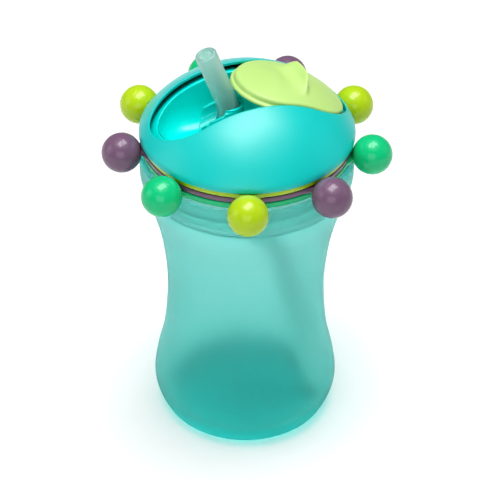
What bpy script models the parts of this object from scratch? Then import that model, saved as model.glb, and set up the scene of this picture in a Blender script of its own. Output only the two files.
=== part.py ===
"""A toddler's straw cup: waisted cup, screw lid with a sliding cover, folding straw, three rings of balls.

Dimensions are in millimetres and scene units are metres. The origin is the centre of the base, +Z is up,
and -Y is the front. The lid's slot has its own plan axes, u along the slot and v across it, turned
SLOT_TURN degrees from X and Y.
"""

import math

import bmesh
import bpy
from mathutils import Matrix, Vector

MM = 0.001
GAP = 0.3  # running gap between neighbouring pieces
ROUND_STEPS = 40  # facets round each turned piece

# Cup: height and outer radius at each station, joined by a smooth curve.
CUP_STATIONS = (
    (1.5, 34.8),
    (5.0, 36.5),
    (12.0, 38.5),
    (22.0, 37.6),
    (35.0, 34.7),
    (50.0, 33.0),
    (65.0, 32.6),
    (80.0, 33.8),
    (92.0, 35.8),
    (100.0, 37.9),
    (107.0, 40.0),
    (112.0, 41.5),
    (116.0, 42.6),
    (118.5, 43.0),
)
CUP_WALL = 1.8
CUP_RIM_Z = 127.0
CUP_BAND_R = 43.0
MOUTH_R = 40.6
LEDGE_Z = 114.0
LEDGE_R = 38.0
FLOOR_TOP = 5.3
FLOOR_UNDER = 3.3
FOOT_Z = 0.6
PAD_R = 31.2
PAD_H = 3.0

# Two-start right-hand thread between the cup's mouth and the lid's skirt.
THREAD_LEAD = 8.0
THREAD_SPAN = 150.0
THREAD_H = 1.2
THREAD_STARTS = (0.0, 180.0)
CUP_THREAD_Z = 119.6
CUP_THREAD_TIP = 39.6
LID_THREAD_TIP = 40.2

# Lid: the dome, the deck and the cover are parts of spheres about one centre.
SPHERE_Z = 108.9
DOME_R = 52.0
DOME_WALL = 1.6
DOME_BAND_R = 43.0
DOME_FILLET = 4.35
DOME_EDGE_Z = 136.4
DOME_LIP_R = 39.6
DOME_LIP_TOP = 137.9
DECK_R = 48.6
DECK_WALL = 1.8
NECK_R = 39.2
NECK_INNER_R = 37.1
NECK_BOTTOM = 128.5

# Screw collar: its skirt carries the thread, its lip keeps the rings up and its spigot snaps into the neck.
SKIRT_R = 38.9
SKIRT_BOTTOM = 116.2
SKIRT_INNER_R = 37.1
SPIGOT_INNER_R = 35.2
SPIGOT_TOP = 131.4
LIP_R = 40.5
LIP_BOTTOM = 127.3
LIP_TOP = 128.2

# Slot in the dome, and the recess below it, in plan.
SLOT_TURN = 18.0
SLOT_U = 0.8
SLOT_V = 1.0
SLOT_HALF_LENGTH = 39.8
SLOT_HALF_WIDTH = 17.2
RECESS_U = -13.4
RECESS_HALF_LENGTH = 22.4
RECESS_HALF_WIDTH = 14.8
RECESS_WALL = 1.6
RECESS_FLOOR = 133.8
RECESS_UNDER = 132.0

# Boss that holds the straw, with a cradle that the folded straw lies in.
BOSS_U = -10.9
BOSS_HALF_LENGTH = 8.9
BOSS_HALF_WIDTH = 6.2
BOSS_TOP = 150.0
BOSS_COLLAR_R = 5.9
BOSS_COLLAR_TOP = 151.2
VENT_U = -17.5
VENT_R = 1.3

# Cover: a flange under the dome's edge and a raised cap that fills the slot.
COVER_TILT = 22.6  # from the dome's top towards +u, when open
FLANGE_INNER_R = 49.0
FLANGE_OUTER_R = 50.1
FLANGE_HALF_LENGTH = 24.3
FLANGE_HALF_WIDTH = 18.4
CAP_HALF_LENGTH = 23.4
CAP_HALF_WIDTH = 16.8
CAP_UNDER_R = 50.6
CAP_WALL = 1.6
FIN_HALF_LENGTH = 12.5
FIN_HEIGHT = 5.0
FIN_THICKNESS = 3.2

# Straw.
STRAW_U = -7.6
STRAW_PIVOT_Z = 149.5
STRAW_LEAN = 20.3
STRAW_FOLDED = 110.0  # from straight up, towards -u
SPOUT_R = 4.4
SPOUT_BORE_R = 2.6
SPOUT_START = 2.0
SPOUT_LENGTH = 27.6
TUBE_R = 4.2
TUBE_BORE_R = 2.9
TUBE_TOP = 129.6
TUBE_BEND_TOP = 121.5
TUBE_BEND_END = Vector((14.57, -3.3, 75.0))
TUBE_END = Vector((29.2, -3.6, 9.0))
NIPPLE_BOTTOM = 122.0

# Rings and balls: one level and three balls a third of a turn apart for each ring.
RING_INNER_R = 39.5
RING_OUTER_R = 41.8
BALL_R = 8.0
BALL_ORBIT_R = 50.3
BALL_Z = 131.7
TONGUE_END_R = 49.0
TONGUE_HALF_WIDTH = 2.6
RINGS = (
    # name, underside, top, angle of the first ball
    ("mint", 128.5, 130.9, 109.56),
    ("purple", 131.2, 133.4, 70.8),
    ("lime", 133.7, 136.1, 30.66),
)

TEAL = (0.0, 0.60, 0.58)
LIME = (0.55, 0.80, 0.10)
MINT = (0.06, 0.66, 0.30)
PURPLE = (0.30, 0.19, 0.32)
AQUA = (0.35, 0.74, 0.68)
SILICONE = (0.72, 0.82, 0.78)


def clear_scene():
    for obj in list(bpy.data.objects):
        bpy.data.objects.remove(obj)


def new_collection(name):
    collection = bpy.data.collections.new(name)
    bpy.context.scene.collection.children.link(collection)
    return collection


def material(name, colour, roughness, alpha=1.0):
    made = bpy.data.materials.new(name)
    made.use_nodes = True
    shader = made.node_tree.nodes["Principled BSDF"]
    shader.inputs["Base Color"].default_value = (*colour, 1.0)
    shader.inputs["Roughness"].default_value = roughness
    shader.inputs["Metallic"].default_value = 0.0
    shader.inputs["Alpha"].default_value = alpha
    return made


def place(name, mesh, collection):
    obj = bpy.data.objects.new(name, mesh)
    collection.objects.link(obj)
    if collection is forms:
        obj.hide_render = True
        obj.display_type = "WIRE"
    return obj


def mesh_from(bm, name):
    bmesh.ops.recalc_face_normals(bm, faces=bm.faces[:])
    mesh = bpy.data.meshes.new(name)
    bm.to_mesh(mesh)
    bm.free()
    return mesh


def arc(centre_r, centre_z, radius, start, end, count):
    """Points on an arc in a profile, as (r, z). Angles are in degrees from straight up, outwards."""
    angles = [math.radians(start + (end - start) * i / count) for i in range(count + 1)]
    return [(centre_r + radius * math.sin(a), centre_z + radius * math.cos(a)) for a in angles]


def lathe(name, profile, collection, closed=False, steps=ROUND_STEPS):
    """A profile of (r, z) points turned round Z. It runs down the outer side of the piece."""
    mesh = bpy.data.meshes.new(name)
    count = len(profile)
    edges = [(i, i + 1) for i in range(count - 1)] + ([(count - 1, 0)] if closed else [])
    mesh.from_pydata([(r * MM, 0.0, z * MM) for r, z in profile], edges, [])
    obj = place(name, mesh, collection)
    screw = obj.modifiers.new("turn", "SCREW")
    screw.steps = steps
    screw.render_steps = steps
    screw.use_merge_vertices = True
    screw.merge_threshold = 1e-6
    return obj


def prism(name, outline, low, high, collection):
    """An outline of (x, y) points raised from one height to another."""
    bm = bmesh.new()
    face = bm.faces.new([bm.verts.new((x * MM, y * MM, low * MM)) for x, y in outline])
    raised = bmesh.ops.extrude_face_region(bm, geom=[face])["geom"]
    top = [item for item in raised if isinstance(item, bmesh.types.BMVert)]
    bmesh.ops.translate(bm, verts=top, vec=(0.0, 0.0, (high - low) * MM))
    return place(name, mesh_from(bm, name), collection)


def stadium(half_length, half_width, centre=(0.0, 0.0), count=14):
    """A plan outline with straight sides and half-round ends."""
    reach = half_length - half_width
    points = []
    for side in (1, -1):
        for i in range(count + 1):
            a = side * math.pi / 2 * (2 * i / count - 1) if side > 0 else math.pi / 2 + math.pi * i / count
            points.append((side * reach + half_width * math.cos(a), half_width * math.sin(a)))
    return [(centre[0] + x, centre[1] + y) for x, y in points]


def combine(obj, other, operation):
    step = obj.modifiers.new(f"{operation.lower()} {other.name}", "BOOLEAN")
    step.object = other
    step.operation = operation
    step.solver = "EXACT"


def along_slot(*objects):
    """Turns pieces drawn in the slot's own plan axes to where the slot points."""
    for obj in objects:
        obj.rotation_euler.z = math.radians(SLOT_TURN)


def finish(obj, look, parent=None):
    obj.data.materials.append(look)
    if obj.data.polygons:
        obj.data.shade_smooth()
        obj.data.set_sharp_from_angle(angle=math.radians(40))
    if parent:
        obj.parent = parent
    return obj


def empty(name, location, turn=0.0, tilt=0.0, parent=None):
    """An axis marker. A tilt turns it about its own v axis."""
    made = bpy.data.objects.new(name, None)
    parts.objects.link(made)
    made.parent = parent
    made.location = Vector(location) * MM
    made.rotation_euler = (0.0, math.radians(tilt), math.radians(turn))
    return made


def cup_radius(z):
    """The cup's outer radius at a height: a Catmull-Rom curve through the stations."""
    last = len(CUP_STATIONS) - 1
    if z >= CUP_STATIONS[last][0]:
        return CUP_BAND_R
    i = max(k for k in range(last) if CUP_STATIONS[k][0] <= z)
    z1, r1 = CUP_STATIONS[i]
    z2, r2 = CUP_STATIONS[i + 1]
    z0, r0 = CUP_STATIONS[max(i - 1, 0)]
    z3, r3 = CUP_STATIONS[i + 2] if i + 2 <= last else (CUP_RIM_Z, CUP_BAND_R)
    slope1 = (r2 - r0) / (z2 - z0)
    slope2 = (r3 - r1) / (z3 - z1)
    span = z2 - z1
    t = (z - z1) / span
    start = (1 + 2 * t) * (1 - t) ** 2 * r1 + t * (1 - t) ** 2 * span * slope1
    return start + t * t * (3 - 2 * t) * r2 + t * t * (t - 1) * span * slope2


def helical_ridge(name, root_r, tip_r, start_angle, start_z):
    """One thread ridge: a trapezoid swept up the helix, closed at both ends."""
    steps = 20
    half = THREAD_H / 2
    section = ((root_r, -half), (tip_r, -half * 0.6), (tip_r, half * 0.6), (root_r, half))
    bm = bmesh.new()
    rings = []
    for i in range(steps + 1):
        turned = THREAD_SPAN * i / steps
        a = math.radians(start_angle + turned)
        z = start_z + THREAD_LEAD * turned / 360
        ring = [bm.verts.new((r * math.cos(a) * MM, r * math.sin(a) * MM, (z + dz) * MM)) for r, dz in section]
        rings.append(ring)
    for low, high in zip(rings, rings[1:]):
        for k in range(4):
            bm.faces.new((low[k], low[(k + 1) % 4], high[(k + 1) % 4], high[k]))
    bm.faces.new(rings[0])
    bm.faces.new(rings[-1])
    return place(name, mesh_from(bm, name), forms)


def add_thread(obj, root_r, tip_r, start_z):
    for number, start in enumerate(THREAD_STARTS, 1):
        ridge = helical_ridge(f"{obj.name}_ridge_{number}", root_r, tip_r, start, start_z)
        combine(obj, ridge, "UNION")


def make_cup_body(look):
    inner_heights = (9.5, 14, 20, 28, 36, 46, 56, 66, 76, 85, 93, 100, 105)
    outer_heights = (118.5, 116, 112, 107, 100, 92, 84, 75, 65, 55, 45, 36, 28, 20, 13, 8, 4, 1.5)
    profile = [(0.0, FLOOR_TOP), (31.0, FLOOR_TOP), (33.4, 6.6)]
    profile += [(cup_radius(z) - CUP_WALL, z) for z in inner_heights]
    profile += [(LEDGE_R, 108.6), (LEDGE_R, LEDGE_Z), (MOUTH_R, LEDGE_Z)]
    profile += [(MOUTH_R, CUP_RIM_Z - 0.6), (MOUTH_R + 0.6, CUP_RIM_Z)]
    profile += [(CUP_BAND_R - 0.8, CUP_RIM_Z), (CUP_BAND_R, CUP_RIM_Z - 0.8)]
    profile += [(cup_radius(z), z) for z in outer_heights]
    profile += [(33.2, FOOT_Z), (PAD_R + GAP, FOOT_Z), (PAD_R + GAP, FLOOR_UNDER), (0.0, FLOOR_UNDER)]
    cup = lathe("cup_body", profile, parts)
    add_thread(cup, MOUTH_R + 0.6, CUP_THREAD_TIP, CUP_THREAD_Z)
    return finish(cup, look)


def make_base_pad():
    edge = 0.5
    profile = [(0.0, PAD_H), (PAD_R - edge, PAD_H), (PAD_R, PAD_H - edge)]
    profile += [(PAD_R, edge), (PAD_R - edge, 0.0), (0.0, 0.0)]
    return finish(lathe("base_pad", profile, parts), material("pad_teal", (0.0, 0.48, 0.46), 0.6))


def make_lid_base(look):
    """Neck and curved deck as one turned shell, with the recess and the straw boss joined to it."""
    shell = [(0.0, SPHERE_Z + DECK_R)]
    neck_angle = math.degrees(math.asin(NECK_R / DECK_R))
    shell += arc(0, SPHERE_Z, DECK_R, 0, neck_angle, 8)[1:]
    shell += [(NECK_R, NECK_BOTTOM), (NECK_INNER_R, NECK_BOTTOM)]
    inner_r = DECK_R - DECK_WALL
    inner_angle = math.degrees(math.asin(NECK_INNER_R / inner_r))
    shell += arc(0, SPHERE_Z, inner_r, inner_angle, 0, 8)
    lid = lathe("lid_base", shell, parts)

    centre = (RECESS_U, SLOT_V)
    outer = stadium(RECESS_HALF_LENGTH + RECESS_WALL, RECESS_HALF_WIDTH + RECESS_WALL, centre)
    tub = prism("recess_tub", outer, RECESS_UNDER, SPHERE_Z + DECK_R, forms)
    dome = lathe("deck_limit", arc(0, SPHERE_Z, DECK_R - 0.6, 0, 90, 12) + [(0.0, SPHERE_Z)], forms)
    combine(tub, dome, "INTERSECT")
    hollow_outline = stadium(RECESS_HALF_LENGTH, RECESS_HALF_WIDTH, centre)
    hollow = prism("recess_hollow", hollow_outline, RECESS_FLOOR, SPHERE_Z + DOME_R, forms)
    boss_outline = stadium(BOSS_HALF_LENGTH, BOSS_HALF_WIDTH, (BOSS_U, 0.0), 8)
    boss = prism("straw_boss", boss_outline, RECESS_UNDER + 0.5, BOSS_TOP, forms)
    collar_outline = stadium(BOSS_COLLAR_R, BOSS_COLLAR_R, (STRAW_U, 0.0), 8)
    collar = prism("boss_collar", collar_outline, BOSS_TOP - 2.0, BOSS_COLLAR_TOP, forms)
    cradle = prism("cradle", cradle_outline(SPOUT_R + 0.4), 0.0, 34.0, forms)
    bore = straight_hole("straw_bore", STRAW_U, SPOUT_R + GAP, 20)
    vent = straight_hole("vent_bore", VENT_U, VENT_R, 12)
    along_slot(tub, hollow, boss, collar, bore, vent)
    cradle.location = slot_point(STRAW_U, STRAW_PIVOT_Z)
    cradle.rotation_euler = (0.0, -math.radians(STRAW_FOLDED), math.radians(SLOT_TURN))
    combine(lid, tub, "UNION")
    combine(lid, hollow, "DIFFERENCE")
    combine(lid, boss, "UNION")
    combine(lid, collar, "UNION")
    for cutter in (cradle, bore, vent):
        combine(lid, cutter, "DIFFERENCE")
    return finish(lid, look)


def make_screw_collar(look):
    spigot_r = NECK_INNER_R - GAP
    profile = [(spigot_r, SPIGOT_TOP), (spigot_r, LIP_TOP), (LIP_R, LIP_TOP), (LIP_R, LIP_BOTTOM)]
    profile += [(SKIRT_R, LIP_BOTTOM), (SKIRT_R, SKIRT_BOTTOM), (SKIRT_INNER_R, SKIRT_BOTTOM)]
    profile += [(SKIRT_INNER_R, LIP_BOTTOM - 0.7), (SPIGOT_INNER_R, LIP_BOTTOM + 0.5), (SPIGOT_INNER_R, SPIGOT_TOP)]
    collar = lathe("screw_collar", profile, parts, closed=True)
    add_thread(collar, SKIRT_R - 0.7, LID_THREAD_TIP, CUP_THREAD_Z - THREAD_H - GAP)
    return finish(collar, look)


def cradle_outline(radius):
    """A U that is open along +X, which points up once the cradle lies along the folded straw."""
    arc_points = [math.radians(90 + 180 * i / 10) for i in range(11)]
    round_side = [(radius * math.cos(a), radius * math.sin(a)) for a in arc_points]
    return round_side + [(20.0, -radius), (20.0, radius)]


def straight_hole(name, u, radius, steps):
    outline = [
        (u + radius * math.cos(math.tau * i / steps), radius * math.sin(math.tau * i / steps)) for i in range(steps)
    ]
    return prism(name, outline, RECESS_UNDER - 4, BOSS_TOP + 4, forms)


def slot_point(u, z):
    """A point above the slot's long axis, in metres."""
    turn = math.radians(SLOT_TURN)
    return Vector((u * math.cos(turn), u * math.sin(turn), z)) * MM


def domed(sphere_r, band_r, fillet, count):
    """Profile of a sphere that a fillet rounds into an upright band, from the top down."""
    fillet_z = SPHERE_Z + math.sqrt((sphere_r - fillet) ** 2 - (band_r - fillet) ** 2)
    meet = math.degrees(math.atan2(band_r - fillet, fillet_z - SPHERE_Z))
    crown = arc(0, SPHERE_Z, sphere_r, 0, meet, count)
    return crown + arc(band_r - fillet, fillet_z, fillet, meet, 90, 3)[1:]


def make_lid_dome(look):
    outer = domed(DOME_R, DOME_BAND_R, DOME_FILLET, 12)
    inner = domed(DOME_R - DOME_WALL, DOME_BAND_R - DOME_WALL, DOME_FILLET - DOME_WALL, 10)
    edge = [(DOME_BAND_R - 0.1, DOME_EDGE_Z), (DOME_LIP_R, DOME_EDGE_Z), (DOME_LIP_R, DOME_LIP_TOP)]
    turn_in = [(DOME_BAND_R - DOME_WALL, DOME_LIP_TOP)]
    dome = lathe("lid_dome", outer + edge + turn_in + inner[::-1][1:], parts)
    outline = stadium(SLOT_HALF_LENGTH, SLOT_HALF_WIDTH, (SLOT_U, SLOT_V))
    slot = prism("slot_cutter", outline, DOME_LIP_TOP + 0.4, SPHERE_Z + DOME_R + 5, forms)
    along_slot(slot)
    combine(dome, slot, "DIFFERENCE")
    return finish(dome, look)


def sphere_shell(name, inner_r, outer_r, reach):
    """A dish cut from a hollow sphere about the origin, out to a plan radius."""
    outer_angle = math.degrees(math.asin(reach / outer_r))
    inner_angle = math.degrees(math.asin(reach / inner_r))
    profile = arc(0, 0, outer_r, 0, outer_angle, 8) + arc(0, 0, inner_r, inner_angle, 0, 8)
    return lathe(name, profile, forms, steps=32)


def make_cover(pivot):
    """The cover is drawn about the lid's sphere centre, pointing straight up, and tilted by its pivot."""
    cover = sphere_shell("slide_cover", FLANGE_INNER_R, FLANGE_OUTER_R, 30.0)
    forms.objects.unlink(cover)
    parts.objects.link(cover)
    cover.hide_render = False
    cover.display_type = "TEXTURED"
    centre = (0.0, SLOT_V)
    flange_plan = stadium(FLANGE_HALF_LENGTH, FLANGE_HALF_WIDTH, centre)
    cap_plan = stadium(CAP_HALF_LENGTH, CAP_HALF_WIDTH, centre)
    hollow_plan = stadium(CAP_HALF_LENGTH - CAP_WALL, CAP_HALF_WIDTH - CAP_WALL, centre)
    flange_limit = prism("flange_limit", flange_plan, 30.0, 60.0, forms)
    cap = sphere_shell("cover_cap", FLANGE_OUTER_R - 0.4, DOME_R, 31.0)
    cap_limit = prism("cap_limit", cap_plan, 30.0, 60.0, forms)
    hollow = sphere_shell("cap_hollow", FLANGE_INNER_R - 2, CAP_UNDER_R, 31.5)
    hollow_limit = prism("cap_hollow_limit", hollow_plan, 30.0, 60.0, forms)
    fin = make_fin()
    combine(cap, cap_limit, "INTERSECT")
    combine(hollow, hollow_limit, "INTERSECT")
    combine(cover, flange_limit, "INTERSECT")
    combine(cover, cap, "UNION")
    combine(cover, fin, "UNION")
    combine(cover, hollow, "DIFFERENCE")
    for obj in (cover, flange_limit, cap, cap_limit, hollow, hollow_limit, fin):
        obj.parent = pivot
    cover.data.materials.append(material("cover_lime", LIME, 0.35))
    return cover


def make_fin():
    """The thumb fin: half an ellipse standing across the cover."""
    root = DOME_R - 1.0
    height = FIN_HEIGHT + 1.0
    count = 12
    bm = bmesh.new()
    ring = []
    for i in range(count + 1):
        a = math.pi * i / count
        v = SLOT_V + FIN_HALF_LENGTH * math.cos(a)
        sag = DOME_R - math.sqrt(DOME_R**2 - (FIN_HALF_LENGTH * math.cos(a)) ** 2)
        z = root - sag + height * math.sin(a)
        ring.append(bm.verts.new((-FIN_THICKNESS / 2 * MM, v * MM, z * MM)))
    face = bm.faces.new(ring)
    raised = bmesh.ops.extrude_face_region(bm, geom=[face])["geom"]
    far = [item for item in raised if isinstance(item, bmesh.types.BMVert)]
    bmesh.ops.translate(bm, verts=far, vec=(FIN_THICKNESS * MM, 0.0, 0.0))
    return place("thumb_fin", mesh_from(bm, "thumb_fin"), forms)


def make_lid_seal(look):
    profile = [(38.1, 115.9), (39.4, 115.9), (39.4, 114.3), (38.1, 114.3)]
    return finish(lathe("lid_seal", profile, parts, closed=True), look)


def make_vent_valve(look):
    profile = [(0.0, 139.0), (0.9, 138.6), (0.9, 131.7), (3.0, 131.7), (3.0, 130.9), (0.0, 130.7)]
    valve = lathe("vent_valve", profile, parts, steps=12)
    valve.location = slot_point(VENT_U, 0.0)
    return finish(valve, look)


def make_spout_base(look):
    """The straw's fixed root: a tube through the boss, a flange under the floor and a nipple below."""
    nipple_bore = 1.8
    profile = [(SPOUT_R, STRAW_PIVOT_Z - GAP), (SPOUT_R, 131.7), (6.2, 131.7), (6.2, TUBE_TOP + GAP)]
    profile += [(TUBE_BORE_R - GAP, TUBE_TOP + GAP), (TUBE_BORE_R - GAP, NIPPLE_BOTTOM)]
    profile += [(nipple_bore, NIPPLE_BOTTOM), (nipple_bore, 133.0), (SPOUT_BORE_R, 134.0)]
    profile += [(SPOUT_BORE_R, STRAW_PIVOT_Z - GAP)]
    root = lathe("spout_base", profile, parts, closed=True, steps=20)
    root.location = slot_point(STRAW_U, 0.0)
    return finish(root, look)


def make_straw_spout(look, pivot):
    """The drinking end, drawn straight up from its pivot, which leans it."""
    length = SPOUT_LENGTH
    profile = [(3.5, length), (4.1, length - 0.3), (SPOUT_R, length - 1.0), (SPOUT_R, SPOUT_START)]
    profile += [(SPOUT_BORE_R, SPOUT_START), (SPOUT_BORE_R, length - 0.8), (2.95, length - 0.2)]
    return finish(lathe("straw_spout", profile, parts, closed=True, steps=20), look, pivot)


def bezier(start, handle_1, handle_2, end, count):
    points = []
    for i in range(count + 1):
        t = i / count
        s = 1 - t
        points.append(start * s**3 + handle_1 * 3 * s * s * t + handle_2 * 3 * s * t * t + end * t**3)
    return points


def make_straw_tube(look):
    """The lower straw: down from the nipple, through one easy bend, then straight to the far corner."""
    top = slot_point(STRAW_U, TUBE_TOP) / MM
    bend_top = Vector((top.x, top.y, TUBE_BEND_TOP))
    slant = (TUBE_END - TUBE_BEND_END).normalized()
    handle = 18.0
    bend = bezier(bend_top, bend_top - Vector((0, 0, handle)), TUBE_BEND_END - slant * handle, TUBE_BEND_END, 8)
    route = [top] + bend + [TUBE_END]
    curve = bpy.data.curves.new("straw_route", "CURVE")
    curve.dimensions = "3D"
    curve.bevel_depth = TUBE_R * MM
    curve.bevel_resolution = 3
    spline = curve.splines.new("POLY")
    spline.points.add(len(route) - 1)
    for point, place_at in zip(spline.points, route):
        point.co = (*(place_at * MM), 1.0)
    guide = place("straw_route", curve, forms)
    bpy.context.view_layer.update()
    graph = bpy.context.evaluated_depsgraph_get()
    skin = bpy.data.meshes.new_from_object(guide.evaluated_get(graph))
    skin.name = "straw_tube"
    bpy.data.objects.remove(guide)
    tube = place("straw_tube", skin, parts)
    wall = tube.modifiers.new("wall", "SOLIDIFY")
    wall.thickness = (TUBE_R - TUBE_BORE_R) * MM
    wall.offset = -1.0
    wall.use_even_offset = True
    tube.data.materials.append(look)
    return tube


def tab_outlines():
    """Three tabs a third of a turn apart: a flared root on the ring, then a tongue that enters the ball."""
    half = TONGUE_HALF_WIDTH
    one = [(40.6, -6.0), (41.3, -6.0), (42.7, -half), (TONGUE_END_R, -half)]
    one += [(r, -t) for r, t in one[::-1]]
    for number in range(3):
        turn = Matrix.Rotation(math.tau * number / 3, 2)
        yield [tuple(turn @ Vector(point)) for point in one]


def make_ring(name, low, high, first_angle, look):
    profile = [(RING_INNER_R, high), (RING_OUTER_R, high), (RING_OUTER_R, low), (RING_INNER_R, low)]
    ring = lathe(f"ring_{name}", profile, parts, closed=True)
    inset = 0.15
    for number, outline in enumerate(tab_outlines(), 1):
        tab = prism(f"{name}_tab_{number}", outline, low + inset, high - inset, forms)
        tab.parent = ring
        combine(ring, tab, "UNION")
    ring.rotation_euler.z = math.radians(first_angle)
    return finish(ring, look)


def make_balls(name, low, high, ring, look):
    """Three balls on one ring. Each has a slot that the ring's tongue enters."""
    slot = prism(f"{name}_ball_slot", box_outline(), low - GAP, high + GAP, forms)
    bm = bmesh.new()
    bmesh.ops.create_uvsphere(bm, u_segments=18, v_segments=10, radius=BALL_R * MM)
    mesh = mesh_from(bm, f"ball_{name}")
    mesh.materials.append(look)
    mesh.shade_smooth()
    for number in range(3):
        turn = Matrix.Rotation(math.tau * number / 3, 4, "Z")
        ball = place(f"ball_{name}_{number + 1}", mesh if number == 0 else mesh.copy(), parts)
        cutter = slot if number == 0 else place(f"{name}_ball_slot_{number + 1}", slot.data, forms)
        for obj, spot in ((ball, Vector((BALL_ORBIT_R, 0.0, BALL_Z)) * MM), (cutter, Vector())):
            obj.parent = ring
            obj.location = turn @ spot
            obj.rotation_euler.z = math.tau * number / 3
        combine(ball, cutter, "DIFFERENCE")


def box_outline():
    near, far, half = BALL_ORBIT_R - BALL_R - 2, TONGUE_END_R + 0.4, TONGUE_HALF_WIDTH + GAP
    return [(near, -half), (far, -half), (far, half), (near, half)]


clear_scene()
parts = new_collection("sippy_cup")
forms = new_collection("cutters")
lid_teal = material("lid_teal", TEAL, 0.35)
silicone = material("silicone_clear", SILICONE, 0.45, 0.7)
ring_looks = {
    "mint": material("ball_mint", MINT, 0.2),
    "purple": material("ball_purple", PURPLE, 0.2),
    "lime": material("ball_lime", LIME, 0.2),
}

frosted_aqua = material("frosted_aqua", AQUA, 0.35, 0.6)
make_cup_body(frosted_aqua)
make_base_pad()
make_screw_collar(frosted_aqua)
make_lid_base(lid_teal)
make_lid_dome(lid_teal)
make_lid_seal(silicone)
make_vent_valve(silicone)
make_spout_base(silicone)
make_straw_tube(silicone)
make_cover(empty("cover_pivot", (0.0, 0.0, SPHERE_Z), SLOT_TURN, COVER_TILT))
straw_pivot = empty("straw_pivot", slot_point(STRAW_U, STRAW_PIVOT_Z) / MM, SLOT_TURN, -STRAW_LEAN)
make_straw_spout(silicone, straw_pivot)
for ring_name, ring_low, ring_high, ring_angle in RINGS:
    made_ring = make_ring(ring_name, ring_low, ring_high, ring_angle, ring_looks[ring_name])
    make_balls(ring_name, ring_low, ring_high, made_ring, ring_looks[ring_name])
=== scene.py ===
"""A toddler's straw cup in its final surfaces: frosted cup, domed lid, sliding cover, beads on rings.

Lengths are in millimetres until a mesh is made. The lid's slot has its own plan axes, u along it and
v across it.
"""

import math

import bmesh
import bpy
import numpy as np
from mathutils import Matrix, Vector


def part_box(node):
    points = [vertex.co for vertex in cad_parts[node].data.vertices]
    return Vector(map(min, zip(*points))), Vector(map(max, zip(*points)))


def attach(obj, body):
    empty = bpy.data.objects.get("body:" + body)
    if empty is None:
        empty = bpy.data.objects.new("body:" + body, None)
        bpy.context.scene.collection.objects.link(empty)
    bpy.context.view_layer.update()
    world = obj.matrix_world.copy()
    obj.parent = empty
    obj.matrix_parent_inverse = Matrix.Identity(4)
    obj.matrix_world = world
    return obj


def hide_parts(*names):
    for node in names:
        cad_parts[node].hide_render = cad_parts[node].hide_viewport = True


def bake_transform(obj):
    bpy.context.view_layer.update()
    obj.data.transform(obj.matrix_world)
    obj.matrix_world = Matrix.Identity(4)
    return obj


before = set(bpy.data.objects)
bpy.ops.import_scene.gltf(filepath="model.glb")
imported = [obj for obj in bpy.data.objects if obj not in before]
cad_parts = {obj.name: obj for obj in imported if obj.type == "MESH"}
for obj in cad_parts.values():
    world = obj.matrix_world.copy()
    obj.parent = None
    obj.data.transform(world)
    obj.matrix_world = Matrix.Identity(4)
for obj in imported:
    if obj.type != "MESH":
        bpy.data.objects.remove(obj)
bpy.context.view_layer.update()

MM = 0.001
TAU = math.tau

# ---- sizes taken from the frame -------------------------------------------------------------------------


def extent(node):
    """A node's lowest and highest corners in millimetres."""
    low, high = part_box(node)
    return np.array(low) / MM, np.array(high) / MM


CUP_RIM_Z = extent("cup_body")[1][2]
CUP_FOOT_Z = extent("cup_body")[0][2]
BAND_R = extent("cup_body")[1][0]
PAD_R = extent("base_pad")[1][0]
PAD_H = extent("base_pad")[1][2]
DOME_EDGE_Z = extent("lid_dome")[0][2]
DOME_BAND_R = extent("lid_dome")[1][0]
NECK_BOTTOM = extent("lid_base")[0][2]
NECK_R = extent("lid_base")[1][0]
BALL_R = (extent("ball_lime_1")[1][2] - extent("ball_lime_1")[0][2]) / 2
BALL_Z = extent("ball_lime_1")[0][2] + BALL_R
COLOURS = ("mint", "purple", "lime")

# ---- the lid's own geometry -----------------------------------------------------------------------------

SLOT_TURN = math.radians(18.0)
SPHERE_Z = 108.9
DOME_R = 52.0
DOME_WALL = 1.6
DOME_FILLET = 4.35
DOME_LIP_R = 39.6
DOME_LIP_TOP = 137.9
DECK_R = 48.6
DECK_INNER_R = 46.8
NECK_INNER_R = 37.1
SLOT_CENTRE = (0.8, 1.0)
SLOT_REACH = 22.6  # half the straight side
SLOT_HALF_WIDTH = 17.2
RECESS_CENTRE = (-13.4, 1.0)
RECESS_REACH = 7.6
RECESS_HALF_WIDTH = 14.8
RECESS_FLOOR = 133.8
RECESS_UNDER = 132.0
BOSS_U = -10.9
BOSS_REACH = 2.7
BOSS_HALF_WIDTH = 6.2
BOSS_TOP = 150.0
BOSS_COLLAR_R = 5.9
BOSS_COLLAR_TOP = 151.2
VENT_U = -17.5
VENT_R = 1.3
WALL_RISE = 0.9  # how far the cradle's sides stand above the folded straw's axis
STRAW_U = -7.6
STRAW_PIVOT_Z = 149.5
STRAW_LEAN = math.radians(20.3)
STRAW_FOLDED = math.radians(110.0)
SPOUT_R = 4.4
SPOUT_BORE_R = 2.6
SPOUT_LENGTH = 27.6
TUBE_R = 4.2
TUBE_BORE_R = 2.9
TUBE_TOP = 129.0
TUBE_BEND_TOP = 121.5
TUBE_BEND_END = (14.57, -3.3, 75.0)
TUBE_FOOT = (29.2, -3.6, 9.0)
COVER_TILT = math.radians(22.6)
CAP_REACH = 6.6
CAP_HALF_WIDTH = 16.8
CAP_UNDER_R = 50.6
FLANGE_REACH = 5.9
FLANGE_HALF_WIDTH = 18.4
FLANGE_TOP_R = 50.1
FLANGE_UNDER_R = 49.0
FIN_HEIGHT = 4.6
BALL_ORBIT_R = 50.3
RING_INNER_R = 39.5
RING_OUTER_R = 41.8
THREAD_STARTS = (0.0, 180.0)  # degrees
THREAD_LEAD = 8.0
THREAD_SPAN = 150.0  # degrees
THREAD_FADE = 9.0  # degrees
CUP_RIDGE_Z = 119.6
CUP_RIDGE_TIP_R = 39.6
SKIRT_R = 38.9
SKIRT_RIDGE_Z = 118.1
SKIRT_RIDGE_TIP_R = 40.2


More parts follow.
